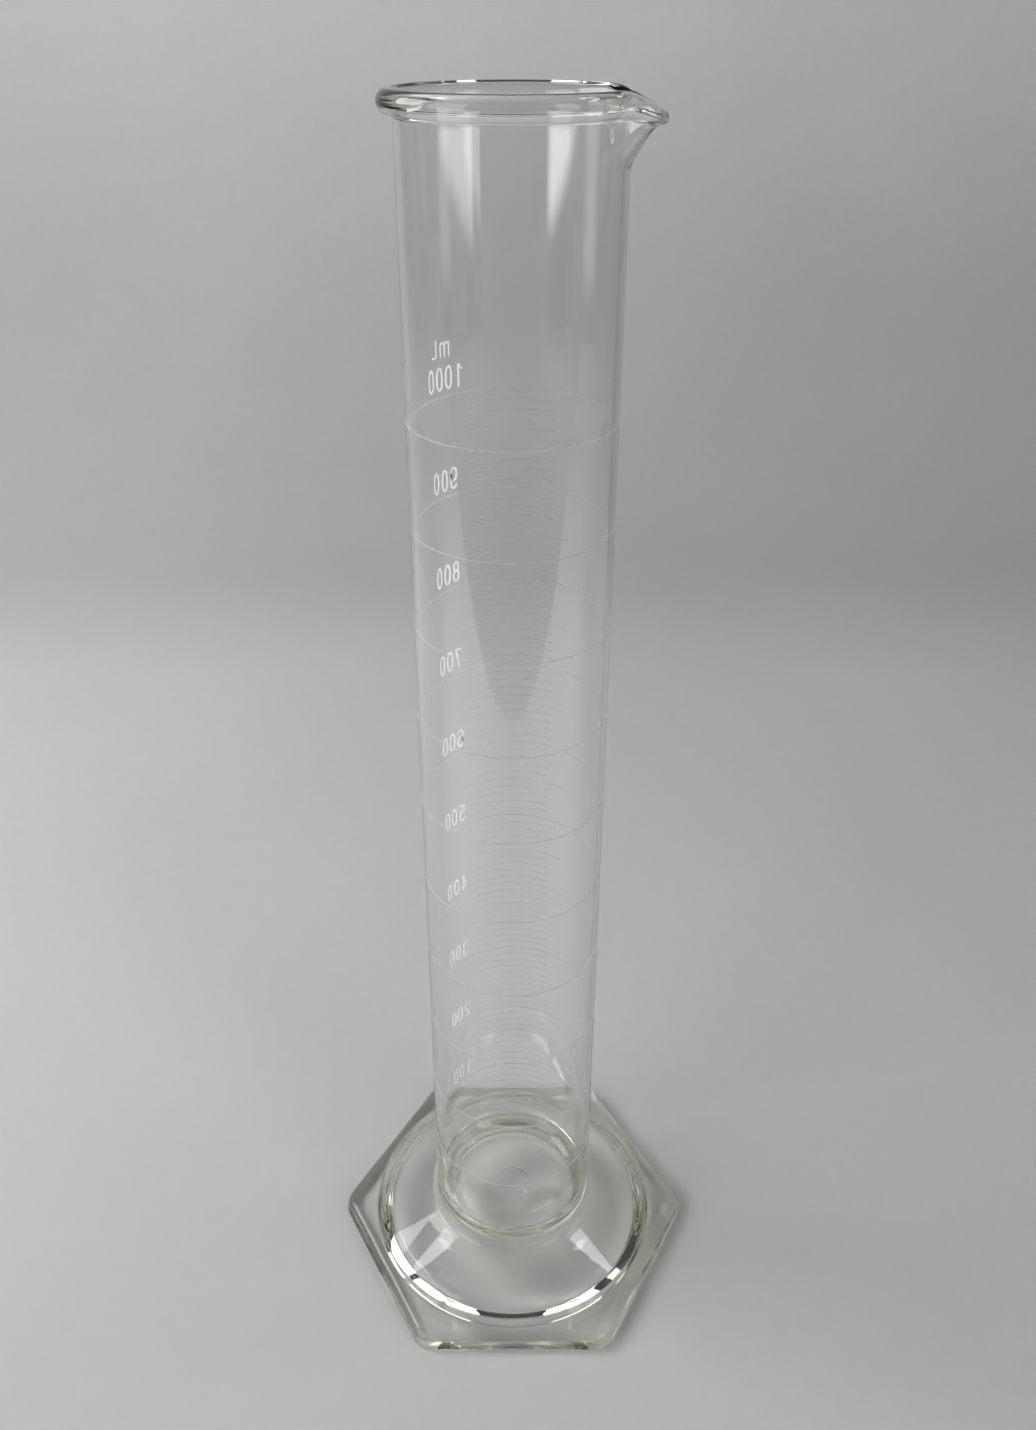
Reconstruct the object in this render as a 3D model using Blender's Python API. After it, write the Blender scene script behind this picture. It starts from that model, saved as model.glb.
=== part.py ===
# Graduated cylinder of clear glass: a straight barrel with a beaded rim and a pour spout,
# fused to a pressed hexagonal foot, with a fired white enamel scale on the barrel.
#
# Units are metres and +Z is up. The origin is the centre of the face that the foot stands on.
# The pour spout points along +X, and the scale is centred on +Y.

import math

import bmesh
import bpy
from mathutils import Matrix

# Barrel
capacity = 0.001                 # cubic metres held at the top line
tube_diameter = 0.0652           # outside
tube_wall = 0.0021
headspace = 0.0914               # from the top line to the top of the bead
floor_height = 0.0218            # inner floor above the bench
floor_thickness = 0.0048
inner_corner = 0.0090            # rounding where the inner floor meets the wall
outer_corner = 0.0080            # rounding under the barrel
floor_shoulder = 0.0012          # straight wall of the bottom piece, above its inner corner
seam_gap = 0.0003                # left between neighbouring pieces

# Rim bead
bead_diameter = 0.0066
bead_projection = 0.0044         # how far the bead stands out from the tube

# Pour spout
spout_half_angle = math.radians(34.0)
spout_height = 0.0224            # from the start of the bulge to the top of the bead
spout_reach = 0.0099             # from the tube's outside to the tip of the lip
spout_drop = 0.0043              # how far the lip sinks below the bead
spout_lip_diameter = 0.0036
spout_curve = 1.7                # power law of the bulge, 1 for a straight cone

# Foot
foot_across_flats = 0.1300
foot_corner_radius = 0.0090
flange_height = 0.0075
flange_bevel = 0.0018
boss_inset = 0.0055              # from the hexagon's flat to the round boss
boss_side_height = 0.0014        # nearly upright side of the boss, above the flange
boss_draft = 0.0006              # how far that side leans in
boss_shoulder = 0.0030           # rounding between the boss's side and its cone, across
boss_crown = 0.0022              # the same rounding, upwards
neck_flare = 0.0036              # how far the neck stands out from the tube
neck_height = 0.0180
collar_height = 0.0078
collar_lip = 0.0006              # upright edge at the collar's foot and top
rim_wall = 0.0035                # glass left round the hollow, at the bench
hollow_draft = 0.0018            # how far the hollow's side leans in
hollow_bevel_width = 0.0050      # slope between the hollow's side and its dome
hollow_bevel_height = 0.0040
dome_wall = 0.0050               # glass left above the hollow, measured upwards
ledge_width = 0.0045             # ring of the foot that the barrel stands on
ledge_thickness = 0.0037
ledge_bevel = 0.0011

# Enamel scale
enamel_thickness = 0.0002
line_width = 0.00045
major_volume = 0.0001            # from one full ring to the next, in cubic metres
ring_count = 10
middle_line_half_angle = math.radians(38.0)
numeral_height = 0.0078
numeral_lift = 0.0020            # from a ring to the foot of its numerals
numeral_pitch = 0.0044           # between the centres of neighbouring digits
numeral_condense = 0.66          # width of a digit against its natural width
numeral_centre = {3: math.radians(47.1), 4: math.radians(45.4)}
unit_height = 0.0058             # of the capital in the unit mark
unit_lift = 0.0127               # from the top ring to the foot of the unit mark
unit_condense = 0.86
unit_angles = {"m": math.radians(44.3), "L": math.radians(53.0)}

# Fineness of the round shapes
around = 48
ring_steps = 40
arc_steps = 6
shoulder_steps = 3

# Worked out from the sizes above
tube_radius = tube_diameter / 2
bore_radius = tube_radius - tube_wall
bore_area = math.pi * bore_radius ** 2
corner_volume = (1 - math.pi / 4) * inner_corner ** 2 * math.tau * (bore_radius - 0.2234 * inner_corner)
top_line_height = floor_height + (capacity + corner_volume) / bore_area
overall_height = top_line_height + headspace
underside_height = floor_height - floor_thickness
bead_radius = bead_diameter / 2
bead_ring_radius = tube_radius + bead_projection - bead_radius
bead_height = overall_height - bead_radius
tube_top = overall_height - bead_diameter - seam_gap
tube_bottom = floor_height + inner_corner + floor_shoulder
spout_root = overall_height - spout_height
seam_angle = seam_gap / tube_radius
neck_radius = tube_radius + neck_flare
boss_radius = foot_across_flats / 2 - boss_inset
enamel_inner = tube_radius + seam_gap
enamel_outer = enamel_inner + enamel_thickness


def line_height(volume):
    """Height of the line that marks a volume."""
    return top_line_height - (capacity - volume) / bore_area


def clear_scene():
    for item in list(bpy.data.objects):
        bpy.data.objects.remove(item, do_unlink=True)


def glass():
    material = bpy.data.materials.new("clear_glass")
    material.use_nodes = True
    shader = material.node_tree.nodes["Principled BSDF"]
    shader.inputs["Base Color"].default_value = (0.86, 0.90, 0.86, 1.0)
    shader.inputs["Roughness"].default_value = 0.03
    shader.inputs["Metallic"].default_value = 0.0
    shader.inputs["IOR"].default_value = 1.47
    shader.inputs["Transmission Weight"].default_value = 1.0
    return material


def enamel():
    material = bpy.data.materials.new("white_enamel")
    material.use_nodes = True
    shader = material.node_tree.nodes["Principled BSDF"]
    shader.inputs["Base Color"].default_value = (0.82, 0.83, 0.82, 1.0)
    shader.inputs["Roughness"].default_value = 0.42
    shader.inputs["Metallic"].default_value = 0.0
    return material


def finish(name, work, material, sharp_angle=35.0):
    """Turn a bmesh into a named object, with its faces pointing out and its round faces smooth."""
    bmesh.ops.recalc_face_normals(work, faces=work.faces)
    if work.calc_volume(signed=True) < 0:
        bmesh.ops.reverse_faces(work, faces=work.faces)
    mesh = bpy.data.meshes.new(name)
    work.to_mesh(mesh)
    work.free()
    mesh.shade_smooth()
    mesh.set_sharp_from_angle(angle=math.radians(sharp_angle))
    mesh.materials.append(material)
    piece = bpy.data.objects.new(name, mesh)
    bpy.context.scene.collection.objects.link(piece)
    return piece


def arc(centre_r, centre_z, radius, start, end, steps=arc_steps):
    """Points of an arc in the radial plane, both ends included. Angles are in degrees."""
    points = []
    for step in range(steps + 1):
        angle = math.radians(start + (end - start) * step / steps)
        points.append((centre_r + radius * math.cos(angle), centre_z + radius * math.sin(angle)))
    return points


def turned(name, section, material, steps=around, start=0.0, sweep=math.tau):
    """Sweep a closed section, given as (radius, height) points, about the Z axis."""
    work = bmesh.new()
    corners = [work.verts.new((r * math.cos(start), r * math.sin(start), z)) for r, z in section]
    edges = [work.edges.new(pair) for pair in zip(corners, corners[1:] + corners[:1])]
    whole = abs(sweep - math.tau) < 1e-6
    swept = bmesh.ops.spin(
        work, geom=corners + edges, cent=(0, 0, 0), axis=(0, 0, 1), angle=sweep, steps=steps, use_merge=whole,
    )
    if not whole:
        far_edges = [item for item in swept["geom_last"] if isinstance(item, bmesh.types.BMEdge)]
        bmesh.ops.contextual_create(work, geom=edges)
        bmesh.ops.contextual_create(work, geom=far_edges)
    bmesh.ops.remove_doubles(work, verts=work.verts, dist=1e-6)
    return finish(name, work, material)


def turned_from_axis(name, outline, material, steps=around):
    """Sweep an open outline that starts and ends on the Z axis into a closed solid."""
    work = bmesh.new()
    corners = [work.verts.new((r, 0, z)) for r, z in outline]
    edges = [work.edges.new(pair) for pair in zip(corners, corners[1:])]
    bmesh.ops.spin(
        work, geom=corners + edges, cent=(0, 0, 0), axis=(0, 0, 1),
        angle=math.tau, steps=steps, use_merge=True,
    )
    bmesh.ops.remove_doubles(work, verts=work.verts, dist=1e-6)
    return finish(name, work, material)


def as_guide(piece):
    piece.hide_render = True
    piece.display_type = "WIRE"
    return piece


def boolean(piece, other, operation):
    modifier = piece.modifiers.new(operation.lower(), "BOOLEAN")
    modifier.object = other
    modifier.operation = operation
    modifier.solver = "EXACT"


def barrel_tube(material):
    """Straight tube, notched at the top where the spout is drawn out."""
    section = [
        (bore_radius, tube_bottom),
        (tube_radius, tube_bottom),
        (tube_radius, tube_top),
        (bore_radius, tube_top),
    ]
    tube = turned("barrel_tube", section, material)
    reach = spout_half_angle + seam_angle
    notch = [
        (bore_radius - tube_wall, spout_root - seam_gap),
        (tube_radius + tube_wall, spout_root - seam_gap),
        (tube_radius + tube_wall, overall_height + tube_wall),
        (bore_radius - tube_wall, overall_height + tube_wall),
    ]
    cutter = turned("spout_notch", notch, material, steps=8, start=-reach, sweep=2 * reach)
    boolean(tube, as_guide(cutter), "DIFFERENCE")


def barrel_floor(material):
    """Rounded bottom that closes the barrel."""
    top = tube_bottom - seam_gap
    outline = [(0, floor_height)]
    outline += arc(bore_radius - inner_corner, floor_height + inner_corner, inner_corner, -90, 0)
    outline += [(bore_radius, top), (tube_radius, top)]
    outline += arc(tube_radius - outer_corner, underside_height + outer_corner, outer_corner, 0, -90)
    outline += [(0, underside_height)]
    turned_from_axis("barrel_floor", outline, material)


def foot_collar(material):
    """Fillet of glass that fuses the barrel to the neck of the foot."""
    inner = tube_radius + seam_gap
    bottom = neck_height + seam_gap
    width = neck_radius - inner - collar_lip
    rise = collar_height - collar_lip
    section = [(inner, bottom), (neck_radius, bottom)]
    for step in range(arc_steps + 1):
        angle = math.pi / 2 * step / arc_steps
        section.append((neck_radius - width * math.sin(angle), bottom + collar_lip + rise * (1 - math.cos(angle))))
    section.append((inner, bottom + collar_height))
    turned("foot_collar", section, material)


def hexagon_outline():
    """Corners of the foot's outline, each one rounded, with a corner on the X axis."""
    radius = foot_corner_radius
    centre_distance = (foot_across_flats / 2 - radius) / math.cos(math.pi / 6)
    points = []
    for corner in range(6):
        direction = corner * math.pi / 3
        for step in range(arc_steps + 1):
            angle = direction + (step / arc_steps - 0.5) * math.pi / 3
            points.append((
                centre_distance * math.cos(direction) + radius * math.cos(angle),
                centre_distance * math.sin(direction) + radius * math.sin(angle),
            ))
    return points


def hex_foot(material):
    """Pressed foot: a hexagonal flange, a round boss with a coned top, and a hollow underside."""
    work = bmesh.new()
    base = work.faces.new([work.verts.new((x, y, 0)) for x, y in hexagon_outline()])
    raised = bmesh.ops.extrude_face_region(work, geom=[base])["geom"]
    top_corners = [item for item in raised if isinstance(item, bmesh.types.BMVert)]
    bmesh.ops.translate(work, verts=top_corners, vec=(0, 0, flange_height))
    bmesh.ops.recalc_face_normals(work, faces=work.faces)
    level = [edge for edge in work.edges if abs(edge.verts[0].co.z - edge.verts[1].co.z) < 1e-6]
    bmesh.ops.bevel(work, geom=level, offset=flange_bevel, segments=2, profile=0.5, affect="EDGES")
    foot = finish("hex_foot", work, material)

    side_top = flange_height + boss_side_height
    cone_radius = boss_radius - boss_shoulder
    cone_base = side_top + boss_crown
    outline = [(0, flange_height / 2), (boss_radius, flange_height / 2)]
    for step in range(shoulder_steps + 1):
        angle = math.pi / 2 * step / shoulder_steps
        across = (boss_shoulder - boss_draft) * math.cos(angle)
        outline.append((cone_radius + across, side_top + boss_crown * math.sin(angle)))
    outline += [(neck_radius, neck_height), (0, neck_height)]
    boss = turned_from_axis("foot_boss", outline, material)
    boolean(foot, as_guide(boss), "UNION")

    # The hollow follows the cone from below, and the barrel stands on a ledge inside the neck.
    hollow_radius = boss_radius - rim_wall
    dome_radius = hollow_radius - hollow_draft - hollow_bevel_width
    slope = (neck_height - cone_base) / (cone_radius - neck_radius)
    dome_edge = cone_base + slope * (cone_radius - dome_radius) - dome_wall
    ledge_radius = tube_radius - ledge_width
    ledge_top = underside_height - seam_gap
    ledge_bottom = ledge_top - ledge_thickness
    seat_radius = tube_radius + seam_gap
    hollow = [
        (0, -flange_height),
        (hollow_radius, -flange_height),
        (hollow_radius, 0),
        (hollow_radius - hollow_draft, dome_edge - hollow_bevel_height),
        (dome_radius, dome_edge),
        (ledge_radius + ledge_bevel, ledge_bottom - ledge_bevel),
        (ledge_radius, ledge_bottom),
        (ledge_radius, ledge_top),
        (seat_radius, ledge_top),
        (seat_radius, neck_height + collar_height),
        (0, neck_height + collar_height),
    ]
    cutter = turned_from_axis("foot_hollow", hollow, material)
    boolean(foot, as_guide(cutter), "DIFFERENCE")


def rim_bead(material):
    """Round bead along the rim, open where the spout is."""
    section = arc(bead_ring_radius, bead_height, bead_radius, 0, 330, steps=11)
    reach = spout_half_angle + seam_angle
    turned("rim_bead", section, material, steps=ring_steps, start=reach, sweep=math.tau - 2 * reach)


def spout_section(angle):
    """Section of the drawn spout in one radial plane, with its rolled lip."""
    swell = math.cos(math.pi / 2 * angle / spout_half_angle) ** 2
    lip_radius = bead_radius + swell * (spout_lip_diameter / 2 - bead_radius)
    tip_radius = tube_radius + bead_projection + swell * (spout_reach - bead_projection)
    lip_r = tip_radius - lip_radius
    lip_z = bead_height - swell * spout_drop
    lip = arc(lip_r, lip_z, lip_radius, -110, 194, steps=9)

    def wall(root_radius, end):
        points = []
        for part in (0.0, 0.35, 0.6, 0.82):
            rise = spout_root + part * (end[1] - spout_root)
            points.append((root_radius + (end[0] - root_radius) * part ** spout_curve, rise))
        return points

    return wall(tube_radius, lip[0]) + lip + wall(bore_radius, lip[-1])[::-1]


def pour_spout(material):
    """Spout drawn out of the barrel wall, its lip thinner and lower than the bead."""
    columns = 12
    work = bmesh.new()
    loops = []
    for column in range(columns + 1):
        angle = spout_half_angle * (2 * column / columns - 1)
        turn = Matrix.Rotation(angle, 4, "Z")
        loop = [work.verts.new((r, 0, z)) for r, z in spout_section(angle)]
        bmesh.ops.transform(work, matrix=turn, verts=loop)
        loops.append(loop)
    for near, far in zip(loops, loops[1:]):
        for index in range(len(near)):
            after = (index + 1) % len(near)
            work.faces.new((near[index], near[after], far[after], far[index]))
    work.faces.new(loops[0])
    work.faces.new(loops[-1])
    finish("pour_spout", work, material)


def enamel_section(height):
    low = height - line_width / 2
    high = height + line_width / 2
    return [(enamel_inner, low), (enamel_outer, low), (enamel_outer, high), (enamel_inner, high)]


def scale_lines(material):
    """Full rings at the major volumes, with a longer line halfway between them."""
    for number in range(1, ring_count + 1):
        volume = number * major_volume
        label = round(volume * 1e6)
        turned(f"graduation_ring_{label:04d}", enamel_section(line_height(volume)), material, steps=ring_steps)
        middle = volume - major_volume / 2
        label = round(middle * 1e6)
        turned(
            f"middle_line_{label:04d}", enamel_section(line_height(middle)), material, steps=8,
            start=math.pi / 2 - middle_line_half_angle, sweep=2 * middle_line_half_angle,
        )


def glyph(character):
    """A flat extruded character, its foot at zero height and centred sideways."""
    work = bmesh.new()
    if character == "1":
        outline = [(0.06, 0), (0.06, 0.69), (-0.04, 0.69), (-0.20, 0.56), (-0.20, 0.46), (-0.06, 0.55), (-0.06, 0)]
        face = work.faces.new([work.verts.new((x, y, -0.5)) for x, y in outline])
        raised = bmesh.ops.extrude_face_region(work, geom=[face])["geom"]
        bmesh.ops.translate(
            work, verts=[item for item in raised if isinstance(item, bmesh.types.BMVert)], vec=(0, 0, 1),
        )
    else:
        text = bpy.data.curves.new("glyph", "FONT")
        text.body = character
        text.extrude = 0.5
        text.resolution_u = 2
        holder = bpy.data.objects.new("glyph", text)
        bpy.context.scene.collection.objects.link(holder)
        flat = bpy.data.meshes.new_from_object(holder.evaluated_get(bpy.context.evaluated_depsgraph_get()))
        work.from_mesh(flat)
        bpy.data.objects.remove(holder)
        bmesh.ops.remove_doubles(work, verts=work.verts, dist=1e-5)
    left = min(vert.co.x for vert in work.verts)
    right = max(vert.co.x for vert in work.verts)
    bottom = min(vert.co.y for vert in work.verts)
    bmesh.ops.translate(work, verts=work.verts, vec=(-(left + right) / 2, -bottom, 0))
    return work


def wrapped_glyph(name, character, height, condense, angle, foot_height, material):
    """Put a character on the barrel, its right-hand side towards growing angles."""
    work = glyph(character)
    capital = 0.68 if character == "m" else max(vert.co.y for vert in work.verts)
    scale = height / capital
    for vert in work.verts:
        radius = enamel_outer if vert.co.z > 0 else enamel_inner
        turn = angle + vert.co.x * scale * condense / tube_radius
        vert.co = (radius * math.cos(turn), radius * math.sin(turn), foot_height + vert.co.y * scale)
    finish(name, work, material)


def numerals(material):
    """A row of digits above each full ring, read from outside the barrel."""
    for number in range(1, ring_count + 1):
        volume = number * major_volume
        text = str(round(volume * 1e6))
        label = f"numeral_{int(text):04d}"
        foot_height = line_height(volume) + numeral_lift
        for place, character in enumerate(text):
            offset = (place - (len(text) - 1) / 2) * numeral_pitch
            angle = math.pi / 2 + numeral_centre[len(text)] + offset / tube_radius
            name = f"{label}_digit_{place + 1}"
            wrapped_glyph(name, character, numeral_height, numeral_condense, angle, foot_height, material)


def unit_mark(material):
    """The unit, millilitres, above the top numerals."""
    foot_height = line_height(capacity) + unit_lift
    for character, angle in unit_angles.items():
        name = "unit_mark_" + ("small_m" if character == "m" else "capital_l")
        wrapped_glyph(name, character, unit_height, unit_condense, math.pi / 2 + angle, foot_height, material)


clear_scene()
clear_glass = glass()
white_enamel = enamel()
barrel_tube(clear_glass)
barrel_floor(clear_glass)
foot_collar(clear_glass)
hex_foot(clear_glass)
rim_bead(clear_glass)
pour_spout(clear_glass)
scale_lines(white_enamel)
numerals(white_enamel)
unit_mark(white_enamel)
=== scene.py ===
import math

import bmesh
import bpy
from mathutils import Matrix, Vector


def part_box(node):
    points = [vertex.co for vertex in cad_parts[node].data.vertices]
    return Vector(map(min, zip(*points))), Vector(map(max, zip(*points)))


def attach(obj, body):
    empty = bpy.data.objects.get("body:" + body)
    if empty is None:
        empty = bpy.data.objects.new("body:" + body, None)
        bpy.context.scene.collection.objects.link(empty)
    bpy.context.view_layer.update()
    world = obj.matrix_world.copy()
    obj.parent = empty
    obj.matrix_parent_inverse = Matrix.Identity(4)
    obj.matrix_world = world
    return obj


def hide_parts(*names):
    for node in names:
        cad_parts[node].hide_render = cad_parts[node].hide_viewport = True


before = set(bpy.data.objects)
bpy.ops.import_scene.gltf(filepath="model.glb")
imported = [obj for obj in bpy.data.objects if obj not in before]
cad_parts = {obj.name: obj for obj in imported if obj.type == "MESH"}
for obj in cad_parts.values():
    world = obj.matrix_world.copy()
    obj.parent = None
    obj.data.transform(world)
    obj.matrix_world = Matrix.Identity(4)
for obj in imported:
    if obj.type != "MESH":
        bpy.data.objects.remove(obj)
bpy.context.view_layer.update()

# A tall measuring cylinder of clear glass with a fired white enamel scale.
# Metres, +Z up. The pour spout points along +X and the scale faces +Y.

print("frame loaded:", len(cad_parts), "nodes")

# Places taken from the frame
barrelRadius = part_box("barrel_tube")[1].y
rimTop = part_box("rim_bead")[1].z
beadReach = -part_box("rim_bead")[0].x
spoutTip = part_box("pour_spout")[1].x
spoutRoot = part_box("pour_spout")[0].z
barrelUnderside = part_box("barrel_floor")[0].z
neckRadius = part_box("foot_collar")[1].x
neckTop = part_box("foot_collar")[0].z
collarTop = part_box("foot_collar")[1].z
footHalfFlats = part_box("hex_foot")[1].y


def middleOf(node):
    low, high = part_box(node)
    return (low + high) / 2


def lineHeight(millilitres):
    top = middleOf("graduation_ring_1000").z
    bottom = middleOf("graduation_ring_0100").z
    return top - (1000 - millilitres) * (top - bottom) / 900


# Helpers for modelling

def startFresh():
    if bpy.context.object and bpy.context.object.mode == "EDIT":
        bpy.ops.object.mode_set(mode="OBJECT")
    bpy.ops.object.select_all(action="DESELECT")


def arcPoints(centre, radii, start, end, steps):
    # points (radius, height) along a round or oval arc, angles in degrees
    points = []
    for step in range(steps + 1):
        angle = math.radians(start + (end - start) * step / steps)
        points.append((centre[0] + radii[0] * math.cos(angle), centre[1] + radii[1] * math.sin(angle)))
    return points


def drawOutline(points):
    # in edit mode: one vertex, extruded from point to point in the XZ plane
    bpy.ops.mesh.select_all(action="DESELECT")
    bpy.ops.mesh.primitive_plane_add(size=0.01)
    bpy.ops.mesh.merge(type="CENTER")
    bpy.ops.transform.translate(value=(points[0][0], 0, points[0][1]))
    for here, there in zip(points, points[1:]):
        move = (there[0] - here[0], 0, there[1] - here[1])
        bpy.ops.mesh.extrude_region_move(TRANSFORM_OT_translate={"value": move})


def closeUp(distance=1e-6):
    bpy.ops.mesh.select_all(action="SELECT")
    bpy.ops.mesh.remove_doubles(threshold=distance)
    bpy.ops.mesh.normals_make_consistent(inside=False)


def pickCorners(body, test):
    # in edit mode: selects the vertices that pass the test, and the edges between them
    bpy.ops.mesh.select_mode(type="VERT")
    bpy.ops.mesh.select_all(action="DESELECT")
    work = bmesh.from_edit_mesh(body.data)
    for corner in work.verts:
        corner.select = test(corner)
    work.select_flush(True)
    bmesh.update_edit_mesh(body.data)


# the numerals and the unit mark, which catch a light of their own
enamelPieces = bpy.data.collections.new("enamelPieces")


def finishPiece(piece, material, nodes):
    startFresh()
    piece.select_set(True)
    bpy.context.view_layer.objects.active = piece
    bpy.ops.object.transform_apply(location=True, rotation=True, scale=True)
    bpy.ops.object.shade_smooth()
    piece.data.materials.clear()
    piece.data.materials.append(material)
    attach(piece, "root")
    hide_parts(*nodes)
    if piece.name.startswith(("numeral", "unitMark")):
        enamelPieces.objects.link(piece)


# Materials

def newMaterial(name):
    material = bpy.data.materials.new(name)
    material.use_nodes = True
    nodes = material.node_tree.nodes
    return material, nodes, material.node_tree.links, nodes["Principled BSDF"]


glassFinish = {
    "ior": 1.473,
    "absorb": (0.52, 0.60, 0.32, 1.0),
    "density": 14.0,
    "wave": 0.05,
    "waveReach": 0.0006,
    "waveScale": 90.0,
    "waveStretch": (1.0, 1.0, 0.06),
}


def clearGlass():
    material, nodes, links, shader = newMaterial("clearGlass")
    shader.inputs["Base Color"].default_value = (1.0, 1.0, 1.0, 1.0)
    shader.inputs["Transmission Weight"].default_value = 1.0
    shader.inputs["IOR"].default_value = glassFinish["ior"]
    shader.inputs["Roughness"].default_value = 0.0
    # the tube was drawn, so its faint waves run lengthways
    coords = nodes.new("ShaderNodeTexCoord")
    stretch = nodes.new("ShaderNodeMapping")
    stretch.inputs["Scale"].default_value = glassFinish["waveStretch"]
    waves = nodes.new("ShaderNodeTexNoise")
    waves.inputs["Scale"].default_value = glassFinish["waveScale"]
    waves.inputs["Detail"].default_value = 2.0
    bump = nodes.new("ShaderNodeBump")
    bump.inputs["Strength"].default_value = glassFinish["wave"]
    bump.inputs["Distance"].default_value = glassFinish["waveReach"]
    links.new(coords.outputs["Object"], stretch.inputs["Vector"])
    links.new(stretch.outputs["Vector"], waves.inputs["Vector"])
    links.new(waves.outputs["Fac"], bump.inputs["Height"])
    links.new(bump.outputs["Normal"], shader.inputs["Normal"])
    absorb = nodes.new("ShaderNodeVolumeAbsorption")
    absorb.inputs["Color"].default_value = glassFinish["absorb"]
    absorb.inputs["Density"].default_value = glassFinish["density"]
    links.new(absorb.outputs["Volume"], nodes["Material Output"].inputs["Volume"])
    return material


enamelFinish = {
    "light": (0.95, 0.95, 0.93, 1.0),
    "dark": (0.86, 0.87, 0.85, 1.0),
    "grain": 2600.0,
    "grainSteps": (0.32, 0.60),
    "roughness": (0.34, 0.52),
    "bump": 0.25,
    "bumpReach": 0.00004,
    "glowThrough": 1.0,        # how much light passes through the thin coat
    "glowDepth": 0.0006,
}


def whiteEnamel():
    material, nodes, links, shader = newMaterial("whiteEnamel")
    coords = nodes.new("ShaderNodeTexCoord")
    grain = nodes.new("ShaderNodeTexNoise")
    grain.inputs["Scale"].default_value = enamelFinish["grain"]
    grain.inputs["Detail"].default_value = 3.0
    tone = nodes.new("ShaderNodeValToRGB")
    for stop, place, colour in zip(tone.color_ramp.elements, enamelFinish["grainSteps"], ("dark", "light")):
        stop.position = place
        stop.color = enamelFinish[colour]
    gloss = nodes.new("ShaderNodeMapRange")
    gloss.inputs["To Min"].default_value = enamelFinish["roughness"][0]
    gloss.inputs["To Max"].default_value = enamelFinish["roughness"][1]
    bump = nodes.new("ShaderNodeBump")
    bump.inputs["Strength"].default_value = enamelFinish["bump"]
    bump.inputs["Distance"].default_value = enamelFinish["bumpReach"]
    links.new(coords.outputs["Object"], grain.inputs["Vector"])
    links.new(grain.outputs["Fac"], tone.inputs["Fac"])
    links.new(grain.outputs["Fac"], gloss.inputs["Value"])
    links.new(grain.outputs["Fac"], bump.inputs["Height"])
    links.new(tone.outputs["Color"], shader.inputs["Base Color"])
    links.new(gloss.outputs["Result"], shader.inputs["Roughness"])
    links.new(bump.outputs["Normal"], shader.inputs["Normal"])
    shader.inputs["Subsurface Weight"].default_value = enamelFinish["glowThrough"]
    shader.inputs["Subsurface Radius"].default_value = (1.0, 1.0, 1.0)
    shader.inputs["Subsurface Scale"].default_value = enamelFinish["glowDepth"]
    return material


glass = clearGlass()
enamel = whiteEnamel()
print("glass and enamel mixed")


# The blown and pressed glass, fused into one body

glassBody = {
    "turns": 192,
    "wall": 0.0021,
    "floorHeight": 0.0218,
    "floorRings": (0.0, 0.008, 0.016),
    "innerCorner": 0.0090,
    "beadRadius": 0.0033,
    "beadFillet": 0.0010,
    "mouthFlare": 0.0080,      # how far below the rim the bore starts to open
    "spoutHalfAngle": 34.0,
    "spoutDrop": 0.0043,
    "lipRadius": 0.0018,
    "spoutCurve": 1.2,
    "spoutStart": 0.0024,      # how far above the root the bulge sets in
    "spoutSteps": 12,          # loops between the spout's root and the bead
    "bossInset": 0.0055,
    "bossDraft": 0.0006,
    "bossSide": 0.0014,
    "bossShoulder": 0.0030,
    "bossCrown": 0.0022,
    "bossFillet": 0.0007,
    "flangeHeight": 0.0075,
    "flangeRound": 0.0014,
    "flangeShoulder": (0.0040, 0.0050),
    "cornerRadius": 0.0090,
    "cornerCuts": 12,
    "hollowRadius": 0.0560,
    "hollowEdge": 0.0005,
    "hollowDraft": 0.0018,
    "hollowBevel": (0.0050, 0.0040),
    "domeWall": 0.0050,
    "domeFlat": 0.55,          # where the dome levels out, as a share of the barrel's radius
    "domeSteps": 8,
    "pontil": (0.0070, 0.0002),    # radius and depth of the small mark under the barrel
    "edgeLoop": 0.0006,            # loops this close to an edge keep the flats flat
    "loopStep": 0.025,
}

boreRadius = barrelRadius - glassBody["wall"]
beadCentre = (beadReach - glassBody["beadRadius"], rimTop - glassBody["beadRadius"])
bossRadius = footHalfFlats - glassBody["bossInset"]
flangeTop = glassBody["flangeHeight"]


def wallLoops(radius, start, end):
    # points along a straight wall, with one close to each of its ends
    reach = end - start
    edge = math.copysign(glassBody["edgeLoop"], reach)
    count = math.ceil(abs(reach) / glassBody["loopStep"])
    heights = [start + reach * step / count for step in range(1, count)]
    return [(radius, height) for height in [start + edge] + heights + [end - edge]]


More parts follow.
